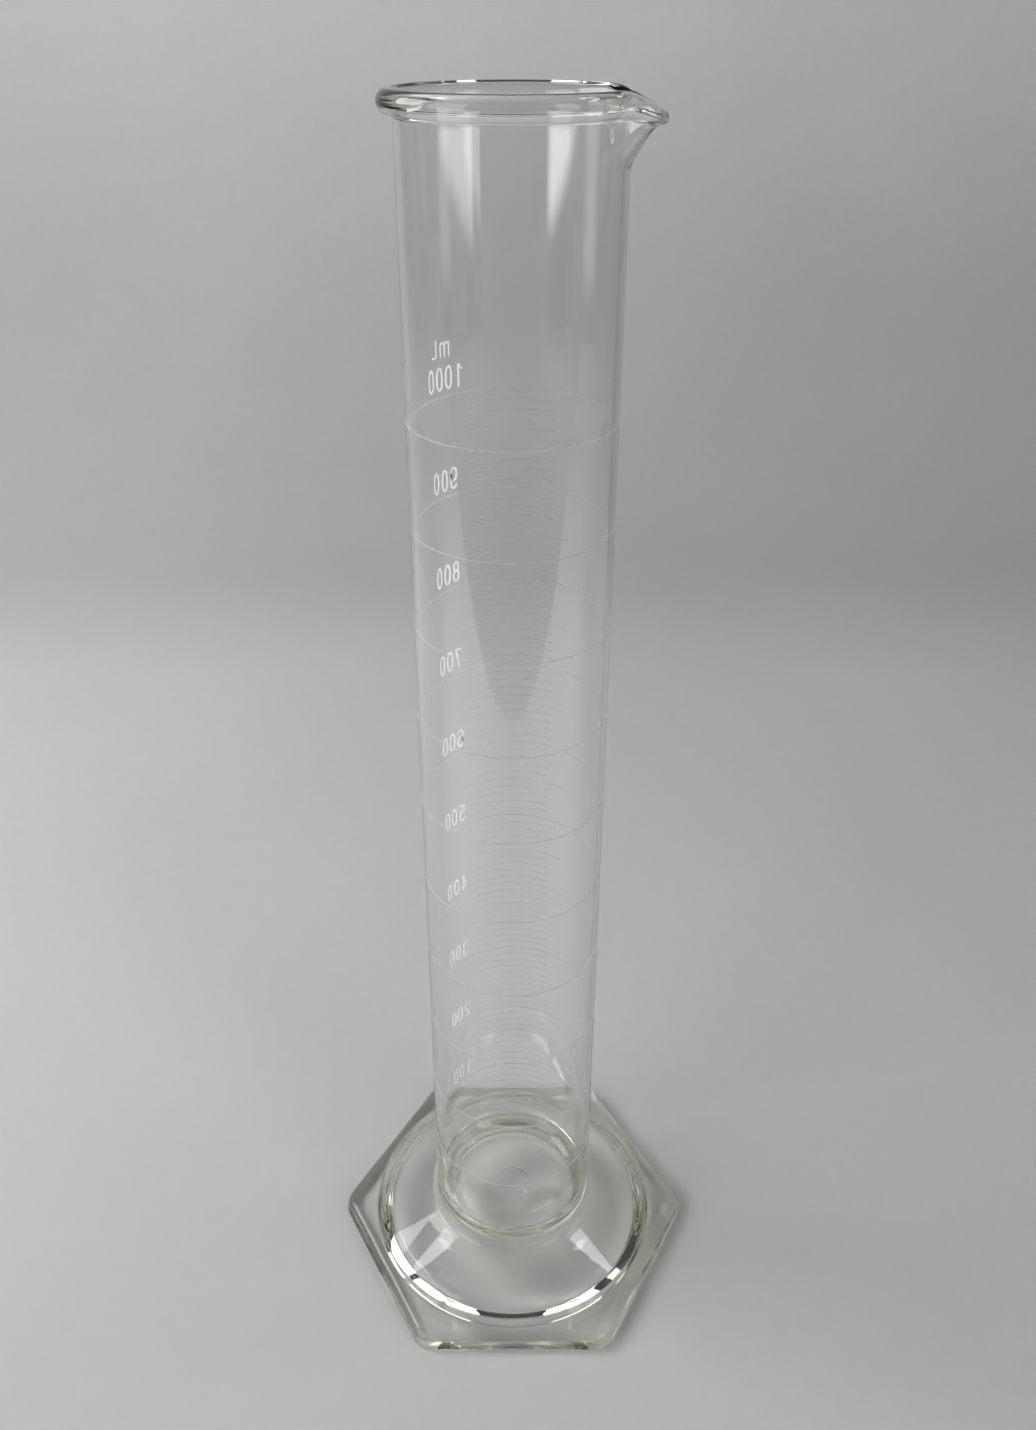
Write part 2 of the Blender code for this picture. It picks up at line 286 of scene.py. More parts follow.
def bodyOutline():
    # from the middle of the inner floor, up the bore, over the bead and down the outside to the flange
    shape = glassBody
    inner = shape["innerCorner"]
    floor = shape["floorHeight"]
    bead = shape["beadRadius"]
    fillet = shape["beadFillet"]
    spoutSteps = shape["spoutSteps"]
    points = [(radius, floor) for radius in shape["floorRings"]]
    points.append((boreRadius - inner - shape["edgeLoop"], floor))
    points += arcPoints((boreRadius - inner, floor + inner), (inner, inner), -90, 0, 14)
    points += wallLoops(boreRadius, floor + inner, spoutRoot)
    flare = shape["mouthFlare"]
    points += [(boreRadius, spoutRoot + (rimTop - flare - spoutRoot) * step / spoutSteps)
               for step in range(spoutSteps)]
    points += arcPoints((beadCentre[0], rimTop - flare), (beadCentre[0] - boreRadius, flare), 180, 90, 16)
    # the bead meets the outside wall in a small fillet
    filletR = barrelRadius + fillet
    rise = math.sqrt((bead + fillet) ** 2 - (beadCentre[0] - filletR) ** 2)
    filletCentre = (filletR, beadCentre[1] - rise)
    meeting = math.degrees(math.atan2(-rise, filletR - beadCentre[0]))
    points += arcPoints(beadCentre, (bead, bead), 90, meeting, 22)[1:]
    points += arcPoints(filletCentre, (fillet, fillet), meeting + 180, 180, 6)[1:]
    points += [(barrelRadius, filletCentre[1] + (spoutRoot - filletCentre[1]) * step / spoutSteps)
               for step in range(1, spoutSteps + 1)]
    points += wallLoops(barrelRadius, spoutRoot, collarTop)
    # collar, cone and boss
    collarWidth = neckRadius - barrelRadius
    points += arcPoints((neckRadius, collarTop), (collarWidth, collarTop - neckTop), 180, 270, 12)
    sideTop = flangeTop + shape["bossSide"]
    coneRadius = bossRadius - shape["bossShoulder"]
    shoulder = (shape["bossShoulder"] - shape["bossDraft"], shape["bossCrown"])
    for part in (0.04, 0.25, 0.5, 0.75, 0.96):
        points.append((neckRadius + (coneRadius - neckRadius) * part,
                       neckTop + (sideTop + shoulder[1] - neckTop) * part))
    points += arcPoints((coneRadius, sideTop), shoulder, 90, 0, 10)
    foot = shape["bossFillet"]
    points += arcPoints((bossRadius + foot, flangeTop + foot), (foot, foot), 180, 270, 4)
    points.append((bossRadius + foot + shape["edgeLoop"] / 4, flangeTop))
    return points


def hollowOutline():
    # from the bench up into the hollow under the foot, to the middle of its dome
    shape = glassBody
    coneRadius = bossRadius - shape["bossShoulder"]
    coneBase = flangeTop + shape["bossSide"] + shape["bossCrown"]
    slope = (neckTop - coneBase) / (coneRadius - neckRadius)
    bevelWide, bevelHigh = shape["hollowBevel"]
    domeRadius = shape["hollowRadius"] - shape["hollowDraft"] - bevelWide
    domeEdge = coneBase + slope * (coneRadius - domeRadius) - shape["domeWall"]
    edge = shape["hollowEdge"]
    points = [(shape["hollowRadius"] + edge + shape["edgeLoop"], 0.0)]
    points += arcPoints((shape["hollowRadius"] + edge, edge), (edge, edge), 270, 180, 4)
    points += arcPoints((domeRadius, domeEdge - bevelHigh), (bevelWide, bevelHigh), 0, 90, 10)
    flatRadius = barrelRadius * shape["domeFlat"]
    rise = barrelUnderside - domeEdge
    for step in range(1, shape["domeSteps"] + 1):
        part = step / shape["domeSteps"]
        points.append((domeRadius + (flatRadius - domeRadius) * part,
                       domeEdge + rise * (1 - math.cos(math.pi * part)) / 2))
    markRadius, markDepth = shape["pontil"]
    points += [(markRadius + markDepth, barrelUnderside), (markRadius, barrelUnderside + markDepth / 2),
               (markRadius - markDepth, barrelUnderside + markDepth), (0.0, barrelUnderside + markDepth)]
    return points


def flangeSection():
    # insets from the hexagon's outline and heights, from the bench up to the flange's top
    edge = glassBody["flangeRound"]
    loop = glassBody["edgeLoop"]
    section = [(edge + loop, 0.0)]
    section += arcPoints((edge, edge), (edge, edge), 270, 180, 6)
    section.append((0.0, edge + loop))
    wide, high = glassBody["flangeShoulder"]
    section += arcPoints((wide, flangeTop - high), (wide, high), 180, 90, 12)
    section.append((wide + loop / 2, flangeTop))
    return section


def hexFlange():
    startFresh()
    radius = footHalfFlats / math.cos(math.radians(30))
    bpy.ops.mesh.primitive_circle_add(vertices=6, radius=radius, fill_type="NGON",
                                      rotation=(0, 0, math.radians(30)))
    flange = bpy.context.object
    bpy.ops.object.transform_apply(location=False, rotation=True, scale=False)
    bpy.ops.object.mode_set(mode="EDIT")
    bpy.ops.mesh.select_all(action="SELECT")
    tangent = glassBody["cornerRadius"] * math.tan(math.radians(30))
    cornerCuts = glassBody["cornerCuts"]
    bpy.ops.mesh.bevel(offset=tangent, segments=cornerCuts, affect="VERTICES")
    bpy.ops.mesh.select_mode(type="EDGE")
    bpy.ops.mesh.select_all(action="DESELECT")
    work = bmesh.from_edit_mesh(flange.data)
    for edge in work.edges:
        edge.select = edge.calc_length() > radius / 4
    bmesh.update_edit_mesh(flange.data)
    sideCuts = glassBody["turns"] // 6 - cornerCuts - 1
    bpy.ops.mesh.subdivide(number_cuts=sideCuts)
    bpy.ops.mesh.select_all(action="SELECT")
    bpy.ops.mesh.delete(type="ONLY_FACE")
    bpy.ops.mesh.select_all(action="SELECT")
    # the outline is drawn in to the first ring, then extruded round the flange's section
    section = flangeSection()
    size = 1 - section[0][0] / footHalfFlats
    bpy.ops.transform.resize(value=(size, size, 1))
    for here, there in zip(section, section[1:]):
        bpy.ops.mesh.extrude_region_move(TRANSFORM_OT_translate={"value": (0, 0, there[1] - here[1])})
        size = (footHalfFlats - there[0]) / (footHalfFlats - here[0])
        bpy.ops.transform.resize(value=(size, size, 1))
    bpy.ops.object.mode_set(mode="OBJECT")
    return flange


def drawSpout(body):
    # the rim is drawn out and down over the spout's angle, and its bead thins into a lip
    shape = glassBody
    half = math.radians(shape["spoutHalfAngle"])
    bead = shape["beadRadius"]
    start = spoutRoot + shape["spoutStart"]
    for corner in body.data.vertices:
        angle = math.atan2(corner.co.y, corner.co.x)
        if corner.co.z < spoutRoot or abs(angle) > half:
            continue
        radius = math.hypot(corner.co.x, corner.co.y)
        swell = math.cos(math.pi / 2 * angle / half) ** 2
        rise = min(1.0, max(0.0, (corner.co.z - start) / (beadCentre[1] - bead - start)))
        lip = 1 + swell * (shape["lipRadius"] / bead - 1)
        thin = 1 + (lip - 1) * rise ** 2
        shift = beadReach + swell * (spoutTip - beadReach) - bead * lip - beadCentre[0]
        newRadius = beadCentre[0] + shift * rise ** shape["spoutCurve"] + (radius - beadCentre[0]) * thin
        newHeight = beadCentre[1] + (corner.co.z - beadCentre[1]) * thin - swell * shape["spoutDrop"] * rise
        corner.co = (newRadius * math.cos(angle), newRadius * math.sin(angle), newHeight)


def makeGlass():
    startFresh()
    bpy.ops.mesh.primitive_plane_add(size=0.01)
    body = bpy.context.object
    body.name = "fusedGlass"
    bpy.ops.object.mode_set(mode="EDIT")
    bpy.ops.mesh.delete(type="VERT")
    drawOutline(bodyOutline())
    drawOutline(hollowOutline())
    bpy.ops.mesh.select_all(action="SELECT")
    bpy.ops.mesh.spin(steps=glassBody["turns"], angle=math.tau, center=(0, 0, 0), axis=(0, 0, 1))
    bpy.ops.mesh.select_all(action="SELECT")
    bpy.ops.mesh.remove_doubles(threshold=1e-6)
    bpy.ops.object.mode_set(mode="OBJECT")
    flange = hexFlange()
    startFresh()
    flange.select_set(True)
    body.select_set(True)
    bpy.context.view_layer.objects.active = body
    bpy.ops.object.join()
    bpy.ops.object.mode_set(mode="EDIT")
    for height in (0.0, flangeTop):
        pickCorners(body, lambda corner: corner.is_boundary and abs(corner.co.z - height) < 1e-5)
        bpy.ops.mesh.bridge_edge_loops()
    closeUp()
    bpy.ops.object.mode_set(mode="OBJECT")
    drawSpout(body)
    finishPiece(body, glass, [
        "barrel_tube", "barrel_floor", "foot_collar", "hex_foot", "rim_bead", "pour_spout",
    ])
    return body


cylinderGlass = makeGlass()
print("glass fused:", len(cylinderGlass.data.polygons), "faces")


# The enamel scale

scaleMarks = {
    "ringHalfWidth": 0.00019,
    "shortHalfWidth": 0.00013,
    "halfThickness": 0.00005,
    "embed": 0.00001,
    "middleHalfAngle": 38.0,
    "shortHalfAngle": 27.5,
    "lowest": 20,              # millilitres at the first and the last short line
    "highest": 990,
    "turns": (192, 48, 16),    # steps round a ring, a middle line and a short line
    "sides": (8, 6),           # sides of a ring's or middle line's section, and of a short line's
}


def bandAt(name, height, halfWidth, halfAngle, turns, sides):
    # a lens-shaped line round the barrel, whole or centred on +Y
    startFresh()
    radius = barrelRadius + scaleMarks["embed"]
    bpy.ops.mesh.primitive_circle_add(vertices=sides, radius=1.0, fill_type="NOTHING",
                                      rotation=(math.pi / 2, 0, 0))
    band = bpy.context.object
    band.name = name
    band.scale = (scaleMarks["halfThickness"], halfWidth, 1.0)
    bpy.ops.object.transform_apply(location=False, rotation=True, scale=True)
    bpy.ops.object.mode_set(mode="EDIT")
    bpy.ops.mesh.select_all(action="SELECT")
    bpy.ops.transform.translate(value=(radius, 0, height))
    if halfAngle is None:
        bpy.ops.mesh.spin(steps=turns, angle=math.tau, center=(0, 0, 0), axis=(0, 0, 1))
    else:
        start = math.radians(90 - halfAngle)
        bpy.ops.transform.rotate(value=-start, orient_axis="Z", center_override=(0, 0, 0))
        bpy.ops.mesh.spin(steps=turns, angle=2 * math.radians(halfAngle), center=(0, 0, 0), axis=(0, 0, -1))
        bpy.ops.mesh.select_all(action="SELECT")
        bpy.ops.mesh.fill_holes(sides=sides)
    closeUp(1e-7)
    bpy.ops.object.mode_set(mode="OBJECT")
    return band


def makeLines():
    ringTurns, middleTurns = scaleMarks["turns"][:2]
    sides = scaleMarks["sides"][0]
    for number in range(1, 11):
        label = f"{number * 100:04d}"
        ring = bandAt("ring" + label, lineHeight(number * 100), scaleMarks["ringHalfWidth"],
                      None, ringTurns, sides)
        finishPiece(ring, enamel, ["graduation_ring_" + label])
        middle = number * 100 - 50
        label = f"{middle:04d}"
        line = bandAt("middleLine" + label, lineHeight(middle), scaleMarks["shortHalfWidth"],
                      scaleMarks["middleHalfAngle"], middleTurns, sides)
        finishPiece(line, enamel, ["middle_line_" + label])


def makeShortLines():
    first = bandAt("shortLines", lineHeight(scaleMarks["lowest"]), scaleMarks["shortHalfWidth"],
                   scaleMarks["shortHalfAngle"], scaleMarks["turns"][2], scaleMarks["sides"][1])
    step = lineHeight(20) - lineHeight(10)
    copies = [first]
    for volume in range(scaleMarks["lowest"] + 10, scaleMarks["highest"] + 1, 10):
        if volume % 50 == 0:
            continue
        copy = first.copy()
        copy.data = first.data.copy()
        copy.location.z = step * (volume - scaleMarks["lowest"]) / 10
        bpy.context.collection.objects.link(copy)
        copies.append(copy)
    startFresh()
    for copy in copies:
        copy.select_set(True)
    bpy.context.view_layer.objects.active = first
    bpy.ops.object.join()
    finishPiece(first, enamel, [])


makeLines()
makeShortLines()
print("scale lines drawn")


numeralShape = {
    "height": 0.0078,
    "halfStroke": 0.052,       # of the height
    "halfWidth": 0.160,        # of the height, to the middle of the stroke
    "unitHalfStroke": 0.06,
    "longest": 0.09,           # of the height: longest straight bit of a stroke
}


def oval(x, y, halfWidth, halfHeight, start, end, steps=20, square=2.3):
    # part of an oval, a little squarer than an ellipse, angles in degrees from +X
    points = []
    for step in range(steps + 1):
        angle = math.radians(start + (end - start) * step / steps)
        across, up = math.cos(angle), math.sin(angle)
        points.append((x + halfWidth * math.copysign(abs(across) ** (2 / square), across),
                       y + halfHeight * math.copysign(abs(up) ** (2 / square), up)))
    return points


def digitStrokes(digit):
    # the middle lines of a digit's strokes, with its foot at 0 and its top at 1
    stroke = numeralShape["halfStroke"]
    wide = numeralShape["halfWidth"]
    low, high = stroke, 1 - stroke
    if digit == "0":
        return [oval(0, 0.5, wide, 0.5 - stroke, 0, 360, 36)]
    if digit == "1":
        return [[(0.03, low), (0.03, high)], [(0.026, high - 0.003), (-0.13, 0.76)]]
    if digit == "2":
        return [oval(0, 0.73, wide, high - 0.73, 165, -25, 16) + [(-wide, low), (wide, low)]]
    if digit == "3":
        upper = oval(-0.01, 0.735, wide - 0.01, high - 0.735, 155, -90, 16)
        lower = oval(-0.01, 0.285, wide, 0.285 - low, 90, -155, 16)
        return [upper + lower]
    if digit == "4":
        return [[(0.056, high - 0.003), (-wide, 0.287), (wide + 0.02, 0.287)], [(0.06, high), (0.06, low)]]
    if digit == "5":
        return [[(wide - 0.02, high), (-wide + 0.03, high), (-wide + 0.01, 0.56)]
                + oval(-0.005, 0.335, wide, 0.335 - low, 125, -150, 18)]
    if digit == "6":
        return [oval(0, 0.66, wide, high - 0.66, 30, 180, 12)
                + oval(0, 0.325, wide, 0.325 - low, 180, 540, 28)]
    if digit == "7":
        return [[(-wide, high), (wide, high), (0.04, 0.55), (-0.05, low)]]
    if digit == "8":
        return [oval(0, 0.74, wide - 0.015, high - 0.74, -90, 270, 28),
                oval(0, 0.29, wide, 0.29 - low, 90, 450, 28)]
    return [oval(0, 0.34, wide, 0.34 - low, 210, 360, 12)
            + oval(0, 0.675, wide, high - 0.675, 0, 360, 28)]


def letterStrokes(letter):
    stroke = numeralShape["unitHalfStroke"]
    if letter == "m":
        leg = 0.34
        low, high = stroke, 0.775
        arch = leg / 2
        strokes = [[(-leg, low), (-leg, high)]]
        for centre in (-arch, arch):
            strokes.append([(centre - arch, 0.45)] + oval(centre, 0.56, arch, high - 0.56, 180, 0, 10)
                           + [(centre + arch, low)])
        return strokes
    return [[(-0.14, 1 - stroke), (-0.14, stroke), (0.19, stroke)]]


def easeCorners(path, reach):
    # rounds each corner of a path, so that a stroke keeps its width round it
    eased = [path[0]]
    for before, here, after in zip(path, path[1:], path[2:]):
        before, here, after = Vector(before), Vector(here), Vector(after)
        into, out = here - before, after - here
        if into.length < 1e-6 or out.length < 1e-6:
            continue
        if into.angle(out) < math.radians(25):
            eased.append(tuple(here))
            continue
        start = here - into.normalized() * min(reach, into.length / 2)
        end = here + out.normalized() * min(reach, out.length / 2)
        for part in (0.0, 0.25, 0.5, 0.75, 1.0):
            eased.append(tuple(start * (1 - part) ** 2 + here * 2 * part * (1 - part) + end * part ** 2))
    eased.append(path[-1])
    return eased


def cutLong(path, longest):
    # long straight runs get points between, so that they can bend round the barrel
    dense = [path[0]]
    for here, there in zip(path, path[1:]):
        count = max(1, math.ceil(math.dist(here, there) / longest))
        for step in range(1, count + 1):
            dense.append((here[0] + (there[0] - here[0]) * step / count,
                          here[1] + (there[1] - here[1]) * step / count))
    return dense


def strokePoints(path, half):
    # (x, y, thickness) along a stroke; an open one gets round ends
    path = cutLong(easeCorners(path, half * 0.9), numeralShape["longest"])
    if math.dist(path[0], path[-1]) < 1e-4:
        return [(x, y, 1.0) for x, y in path[:-1]], True
    points = [(x, y, 1.0) for x, y in path]
    for end, inner, front in ((path[0], path[1], True), (path[-1], path[-2], False)):
        outward = (Vector(end) - Vector(inner)).normalized() * half
        cap = []
        for angle in (25, 50, 72, 88):
            turn = math.radians(angle)
            reach = math.sin(turn)
            cap.append((end[0] + outward.x * reach, end[1] + outward.y * reach, math.cos(turn)))
        points = cap[::-1] + points if front else points + cap
    return points, False


def enamelGlyph(name, strokes, half):
    # round strokes along their paths, joined into one closed skin
    curve = bpy.data.curves.new(name, "CURVE")
    curve.dimensions = "3D"
    curve.bevel_depth = half
    curve.bevel_resolution = 2
    curve.use_fill_caps = True
    for path in strokes:
        points, closed = strokePoints(path, half)
        spline = curve.splines.new("POLY")
        spline.points.add(len(points) - 1)
        spline.use_cyclic_u = closed
        for point, (x, y, size) in zip(spline.points, points):
            point.co = (x, y, 0, 1)
            point.radius = size
    glyph = bpy.data.objects.new(name, curve)
    bpy.context.collection.objects.link(glyph)
    startFresh()
    glyph.select_set(True)
    bpy.context.view_layer.objects.active = glyph
    bpy.ops.object.convert(target="MESH")
    glyph = bpy.context.object
    bpy.ops.object.mode_set(mode="EDIT")
    closeUp(1e-5)
    if len(strokes) > 1:
        bpy.ops.mesh.select_all(action="SELECT")
        bpy.ops.mesh.intersect_boolean(operation="UNION", use_self=True, solver="EXACT")
        closeUp(1e-5)
    bpy.ops.object.mode_set(mode="OBJECT")
    return glyph


def wrapOn(glyph, height, angle, footHeight):
    # lays a glyph on the barrel, its right-hand side towards growing angles
    half = numeralShape["halfStroke"]
    for corner in glyph.data.vertices:
        radius = barrelRadius + scaleMarks["embed"] + corner.co.z / half * scaleMarks["halfThickness"]
        turn = angle + corner.co.x * height / barrelRadius
        corner.co = (radius * math.cos(turn), radius * math.sin(turn), footHeight + corner.co.y * height)


def angleOf(node):
    middle = middleOf(node)
    return math.atan2(middle.y, middle.x)


def makeNumerals():
    for number in range(1, 11):
        label = f"{number * 100:04d}"
        text = str(number * 100)
        nodes = [f"numeral_{label}_digit_{place + 1}" for place in range(len(text))]
        digits = []
        for digit, node in zip(text, nodes):
            glyph = enamelGlyph("digit", digitStrokes(digit), numeralShape["halfStroke"])
            wrapOn(glyph, numeralShape["height"], angleOf(node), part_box(node)[0].z)
            digits.append(glyph)
        startFresh()
        for glyph in digits:
            glyph.select_set(True)
        bpy.context.view_layer.objects.active = digits[0]
        bpy.ops.object.join()
        digits[0].name = "numeral" + label
        finishPiece(digits[0], enamel, nodes)


def makeUnitMark():
    for letter, node in (("m", "unit_mark_small_m"), ("L", "unit_mark_capital_l")):
        low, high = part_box("unit_mark_capital_l")
        name = "unitMark" + letter.upper()
        glyph = enamelGlyph(name, letterStrokes(letter), numeralShape["unitHalfStroke"])
        wrapOn(glyph, high.z - low.z, angleOf(node), low.z)
        finishPiece(glyph, enamel, [node])


makeNumerals()
makeUnitMark()
print("numerals and unit mark drawn")


# Bench, light and camera

benchShape = {
    "halfWidth": 2.6,
    "front": -2.4,
    "bendStart": 0.70,
    "bendRadius": 0.55,
    "wallHeight": 2.4,
    "gap": 0.0003,             # air under the foot
}

paperFinish = {
    # how light the paper is painted where it lies flat, at the back of the bench (darker: a painted shade
    # where it bends up), and high up behind it (lighter: a painted light)
    "paintedShadeAndLightTones": (0.645, 0.58, 0.75),
    "paintedShadeSpan": (0.48, 0.68),
    "paintedLightSpan": (0.10, 0.60),
    "mottle": 0.05,
    "clouds": ((5.0, 4.0, 1.0), (120.0, 3.0, 0.5)),     # scale, detail and share of the mottle
    "roughness": 0.9,
    "sheen": 0.2,
}


def timesInto(material, first, second):
    # multiplies two values; without a first one it hands on the second
    if first is None:
        return second
    product = material.node_tree.nodes.new("ShaderNodeMath")
    product.operation = "MULTIPLY"
    material.node_tree.links.new(first, product.inputs[0])
    material.node_tree.links.new(second, product.inputs[1])
    return product.outputs["Value"]


def palePaper():
    material, nodes, links, shader = newMaterial("palePaper")
    coords = nodes.new("ShaderNodeTexCoord")
    apart = nodes.new("ShaderNodeSeparateXYZ")
    links.new(coords.outputs["Object"], apart.inputs["Vector"])
    near, far, high = paperFinish["paintedShadeAndLightTones"]
    paintedShadeLightAndMottle = None
    # painted shade towards the back of the bench and painted light high up the rise; the mottle after them
    # is the paper's own
    for axis, (start, end), low, top in (("Y", paperFinish["paintedShadeSpan"], near, far),
                                         ("Z", paperFinish["paintedLightSpan"], 1.0, high / far)):
        turn = nodes.new("ShaderNodeMapRange")
        turn.interpolation_type = "SMOOTHSTEP"
        turn.inputs["From Min"].default_value = start
        turn.inputs["From Max"].default_value = end
        turn.inputs["To Min"].default_value = low
        turn.inputs["To Max"].default_value = top
        links.new(apart.outputs[axis], turn.inputs["Value"])
        paintedShadeLightAndMottle = timesInto(material, paintedShadeLightAndMottle, turn.outputs["Result"])
    for scale, detail, share in paperFinish["clouds"]:
        cloud = nodes.new("ShaderNodeTexNoise")
        cloud.inputs["Scale"].default_value = scale
        cloud.inputs["Detail"].default_value = detail
        size = nodes.new("ShaderNodeMapRange")
        size.inputs["To Min"].default_value = 1 - paperFinish["mottle"] * share
        size.inputs["To Max"].default_value = 1 + paperFinish["mottle"] * share
        links.new(coords.outputs["Object"], cloud.inputs["Vector"])
        links.new(cloud.outputs["Fac"], size.inputs["Value"])
        paintedShadeLightAndMottle = timesInto(material, paintedShadeLightAndMottle, size.outputs["Result"])
    links.new(paintedShadeLightAndMottle, shader.inputs["Base Color"])
    shader.inputs["Roughness"].default_value = paperFinish["roughness"]
    shader.inputs["Specular IOR Level"].default_value = paperFinish["sheen"]
    return material


def paperBench():
    startFresh()
    shape = benchShape
    bpy.ops.mesh.primitive_plane_add(size=1.0)
    bench = bpy.context.object
    bench.name = "benchPaper"
    bpy.ops.object.mode_set(mode="EDIT")
    bpy.ops.mesh.delete(type="VERT")
    level = -shape["gap"]
    outline = [(shape["front"], level), (shape["bendStart"], level)]
    bend = (shape["bendStart"], shape["bendRadius"] + level)
    outline += arcPoints(bend, (shape["bendRadius"], shape["bendRadius"]), -90, 0, 24)[1:]
    outline.append((shape["bendStart"] + shape["bendRadius"], shape["wallHeight"]))
    drawOutline(outline)
    bpy.ops.mesh.select_all(action="SELECT")
    bpy.ops.transform.rotate(value=-math.pi / 2, orient_axis="Z", center_override=(0, 0, 0))
    bpy.ops.transform.translate(value=(-shape["halfWidth"], 0, 0))
    bpy.ops.mesh.extrude_region_move(TRANSFORM_OT_translate={"value": (2 * shape["halfWidth"], 0, 0)})
    closeUp()
    bpy.ops.object.mode_set(mode="OBJECT")
    bpy.ops.object.shade_smooth()
    bench.data.materials.append(palePaper())


benchCards = {
    # met only by reflections in the glass: the lit bench in front, and the dimmer room beyond its edge
    "edge": -0.48,
    "back": 0.5,
    "depth": 3.0,
    "halfWidth": 3.0,
    "height": -0.00015,
    "roomTone": 0.03,
    "benchHalfWidth": 1.1,
    # the bench's light from left to right: share of its half width, and strength; the weaker middle is a
    # painted shadow across the reflected bench
    "benchLight": ((-1.0, 0.0), (-0.55, 1.9), (-0.25, 1.9), (0.0, 0.85), (0.25, 1.6), (0.55, 1.6),
                   (1.0, 0.0)),
    "fall": (-0.20, 0.05),     # where that light falls off towards the back, and to what share
    "fallen": 0.25,
}


def reflectionCard(name, front, back, halfWidth):
    startFresh()
    bpy.ops.mesh.primitive_plane_add(size=1.0)
    card = bpy.context.object
    card.name = name
    card.scale = (2 * halfWidth, back - front, 1.0)
    card.location = (0, (front + back) / 2, benchCards["height"])
    bpy.ops.object.transform_apply(location=True, rotation=True, scale=True)
    material, nodes, links, shader = newMaterial(name + "Tone")
    shader.inputs["Base Color"].default_value = (benchCards["roomTone"],) * 3 + (1.0,)
    shader.inputs["Roughness"].default_value = 1.0
    card.data.materials.append(material)
    card.visible_camera = False
    card.visible_diffuse = False
    card.visible_shadow = False
    card.visible_transmission = False
    return nodes, links, shader


def lightBench(nodes, links, shader):
    shape = benchCards
    brightest = max(light for place, light in shape["benchLight"])
    coords = nodes.new("ShaderNodeTexCoord")
    apart = nodes.new("ShaderNodeSeparateXYZ")
    across = nodes.new("ShaderNodeMapRange")
    across.inputs["From Min"].default_value = -shape["benchHalfWidth"]
    across.inputs["From Max"].default_value = shape["benchHalfWidth"]
    ramp = nodes.new("ShaderNodeValToRGB")
    stops = ramp.color_ramp.elements
    while len(stops) < len(shape["benchLight"]):
        stops.new(0.5)
    for stop, (place, light) in zip(stops, shape["benchLight"]):
        stop.position = (place + 1) / 2
        stop.color = (light / brightest,) * 3 + (1.0,)
    fall = nodes.new("ShaderNodeMapRange")
    fall.interpolation_type = "SMOOTHSTEP"
    fall.inputs["From Min"].default_value = shape["fall"][0]
    fall.inputs["From Max"].default_value = shape["fall"][1]
    fall.inputs["To Min"].default_value = brightest
    fall.inputs["To Max"].default_value = brightest * shape["fallen"]
    links.new(coords.outputs["Object"], apart.inputs["Vector"])
    links.new(apart.outputs["X"], across.inputs["Value"])
    links.new(across.outputs["Result"], ramp.inputs["Fac"])
    links.new(apart.outputs["Y"], fall.inputs["Value"])
    links.new(ramp.outputs["Color"], shader.inputs["Emission Color"])
    links.new(fall.outputs["Result"], shader.inputs["Emission Strength"])


def layReflectionCards():
    shape = benchCards
    reflectionCard("roomBeyondBench", shape["edge"] - shape["depth"], shape["edge"], shape["halfWidth"])
    lightBench(*reflectionCard("litBench", shape["edge"], shape["back"], shape["benchHalfWidth"]))


windows = [
    # bearing seen from the cylinder in degrees (left is negative), width, light,
    # and the heights of the sill at the pane's inner and outer side
    {"name": "windowLeft", "bearing": -56.0, "width": 1.00, "light": 3.2, "sills": (0.10, 0.24)},
    {"name": "windowRight", "bearing": 46.0, "width": 0.56, "light": 2.9, "sills": (0.12, 0.22)},
    {"name": "windowFarRight", "bearing": 82.0, "width": 0.42, "light": 1.2, "sills": (0.04, 0.04)},
]
windowDistance = 1.6
windowTop = 1.6
windowFade = 0.10


def windowPane(pane):
    # an upright pane turned to the cylinder; its light fades out towards the sill
    startFresh()
    bearing = math.radians(pane["bearing"])
    bpy.ops.mesh.primitive_plane_add(size=1.0)
    card = bpy.context.object
    card.name = pane["name"]
    card.scale = (pane["width"], windowTop, 1.0)
    bpy.ops.object.transform_apply(location=False, rotation=False, scale=True)
    card.rotation_euler = (math.pi / 2, 0, bearing)
    card.location = (math.sin(bearing) * windowDistance, -math.cos(bearing) * windowDistance, windowTop / 2)
    material, nodes, links, shader = newMaterial(pane["name"] + "Light")
    nodes.remove(shader)
    glow = nodes.new("ShaderNodeEmission")
    coords = nodes.new("ShaderNodeTexCoord")
    apart = nodes.new("ShaderNodeSeparateXYZ")
    lean = nodes.new("ShaderNodeMath")
    lean.operation = "MULTIPLY"
    inner, outer = pane["sills"]
    lean.inputs[1].default_value = -math.copysign(1.0, bearing) * (outer - inner) / pane["width"]
    height = nodes.new("ShaderNodeMath")
    height.operation = "ADD"
    fade = nodes.new("ShaderNodeMapRange")
    fade.interpolation_type = "SMOOTHSTEP"
    fade.inputs["From Min"].default_value = (inner + outer) / 2 - windowTop / 2
    fade.inputs["From Max"].default_value = (inner + outer) / 2 - windowTop / 2 + windowFade
    fade.inputs["To Max"].default_value = pane["light"]
    links.new(coords.outputs["Object"], apart.inputs["Vector"])
    links.new(apart.outputs["X"], lean.inputs[0])
    links.new(lean.outputs["Value"], height.inputs[0])
    links.new(apart.outputs["Y"], height.inputs[1])
    links.new(height.outputs["Value"], fade.inputs["Value"])
    links.new(fade.outputs["Result"], glow.inputs["Strength"])
    links.new(glow.outputs["Emission"], nodes["Material Output"].inputs["Surface"])
    card.data.materials.append(material)
    card.visible_camera = False


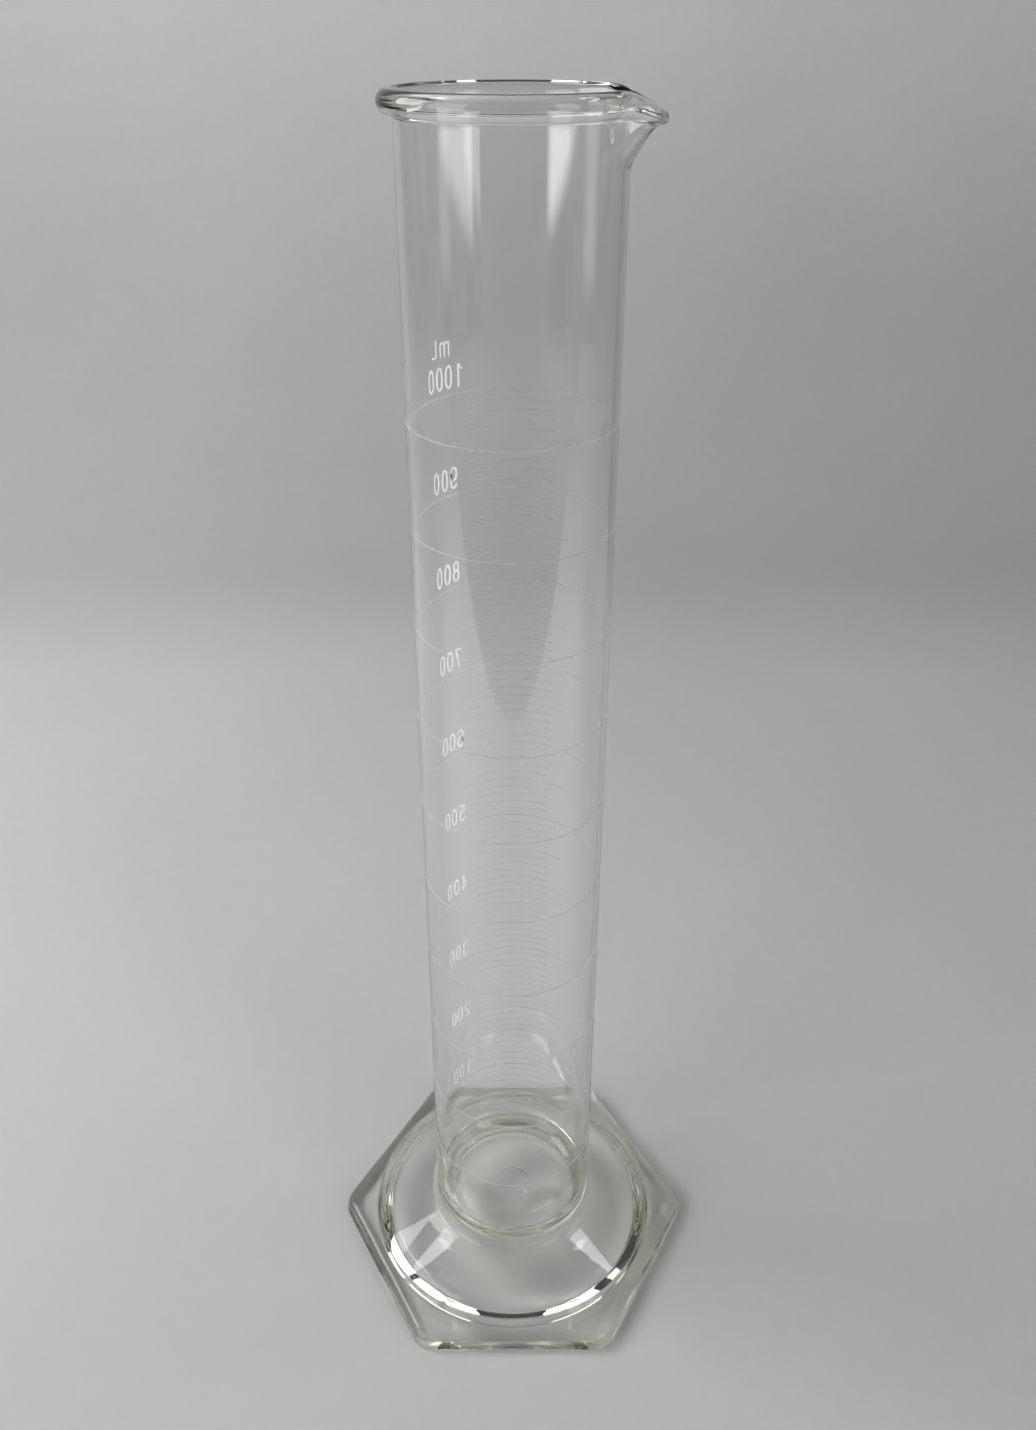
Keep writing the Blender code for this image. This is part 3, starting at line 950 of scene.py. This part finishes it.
lamps = [
    {"name": "softLeft", "size": 0.6, "power": 6.4,
     "place": (-0.95, 0.15, 0.80), "target": (-0.1, 0.2, 0.0)},
    {"name": "ceiling", "size": 1.8, "power": 1.5,
     "place": (-0.3, 0.3, 2.3), "target": (0.0, 0.2, 0.0)},
    {"name": "panelLeft", "size": 0.30, "power": 2.0,
     "place": (-1.25, 0.46, 2.3), "target": (0.0, 0.0, 0.2)},
    {"name": "panelRight", "size": 0.30, "power": 2.0,
     "place": (1.25, 0.46, 2.3), "target": (0.0, 0.0, 0.2)},
    # lights the numerals from behind, and nothing else
    {"name": "enamelLight", "size": 0.6, "power": 12.0,
     "place": (-0.9, 1.0, 0.7), "target": (0.0, 0.0, 0.25)},
]
roomLight = 0.06
roomTint = (0.97, 0.98, 1.0, 1.0)


def setLights():
    for pane in windows:
        windowPane(pane)
    for lamp in lamps:
        light = bpy.data.lights.new(lamp["name"], "AREA")
        light.size = lamp["size"]
        light.energy = lamp["power"]
        holder = bpy.data.objects.new(lamp["name"], light)
        bpy.context.collection.objects.link(holder)
        holder.location = lamp["place"]
        aim = Vector(lamp["target"]) - Vector(lamp["place"])
        holder.rotation_euler = aim.to_track_quat("-Z", "Y").to_euler()
        if lamp["name"] == "enamelLight":
            holder.visible_glossy = False
            holder.visible_transmission = False
            holder.light_linking.receiver_collection = enamelPieces
    world = bpy.data.worlds.new("room")
    world.use_nodes = True
    back = world.node_tree.nodes["Background"]
    back.inputs["Color"].default_value = roomTint
    back.inputs["Strength"].default_value = roomLight
    bpy.context.scene.world = world


cameraPlace = {
    "location": (0.0, -0.3533, 0.4753),
    "pitchDown": 28.16,
    "lens": 30.05,
    "shift": (0.0038, -0.0487),
    "sensor": 36.0,
    "clipStart": 0.01,
}


def setCamera():
    lens = bpy.data.cameras.new("camera")
    lens.sensor_width = cameraPlace["sensor"]
    lens.lens = cameraPlace["lens"]
    lens.shift_x, lens.shift_y = cameraPlace["shift"]
    lens.clip_start = cameraPlace["clipStart"]
    camera = bpy.data.objects.new("camera", lens)
    bpy.context.collection.objects.link(camera)
    camera.location = cameraPlace["location"]
    camera.rotation_euler = (math.radians(90 - cameraPlace["pitchDown"]), 0, 0)
    bpy.context.scene.camera = camera


paperBench()
layReflectionCards()
setLights()
setCamera()

scene = bpy.context.scene
scene.view_settings.view_transform = "Standard"
scene.cycles.blur_glossy = 0.0
scene.cycles.max_bounces = 24
scene.cycles.transmission_bounces = 24
scene.cycles.glossy_bounces = 12
scene.cycles.transparent_max_bounces = 24
print("bench, lights and camera set")
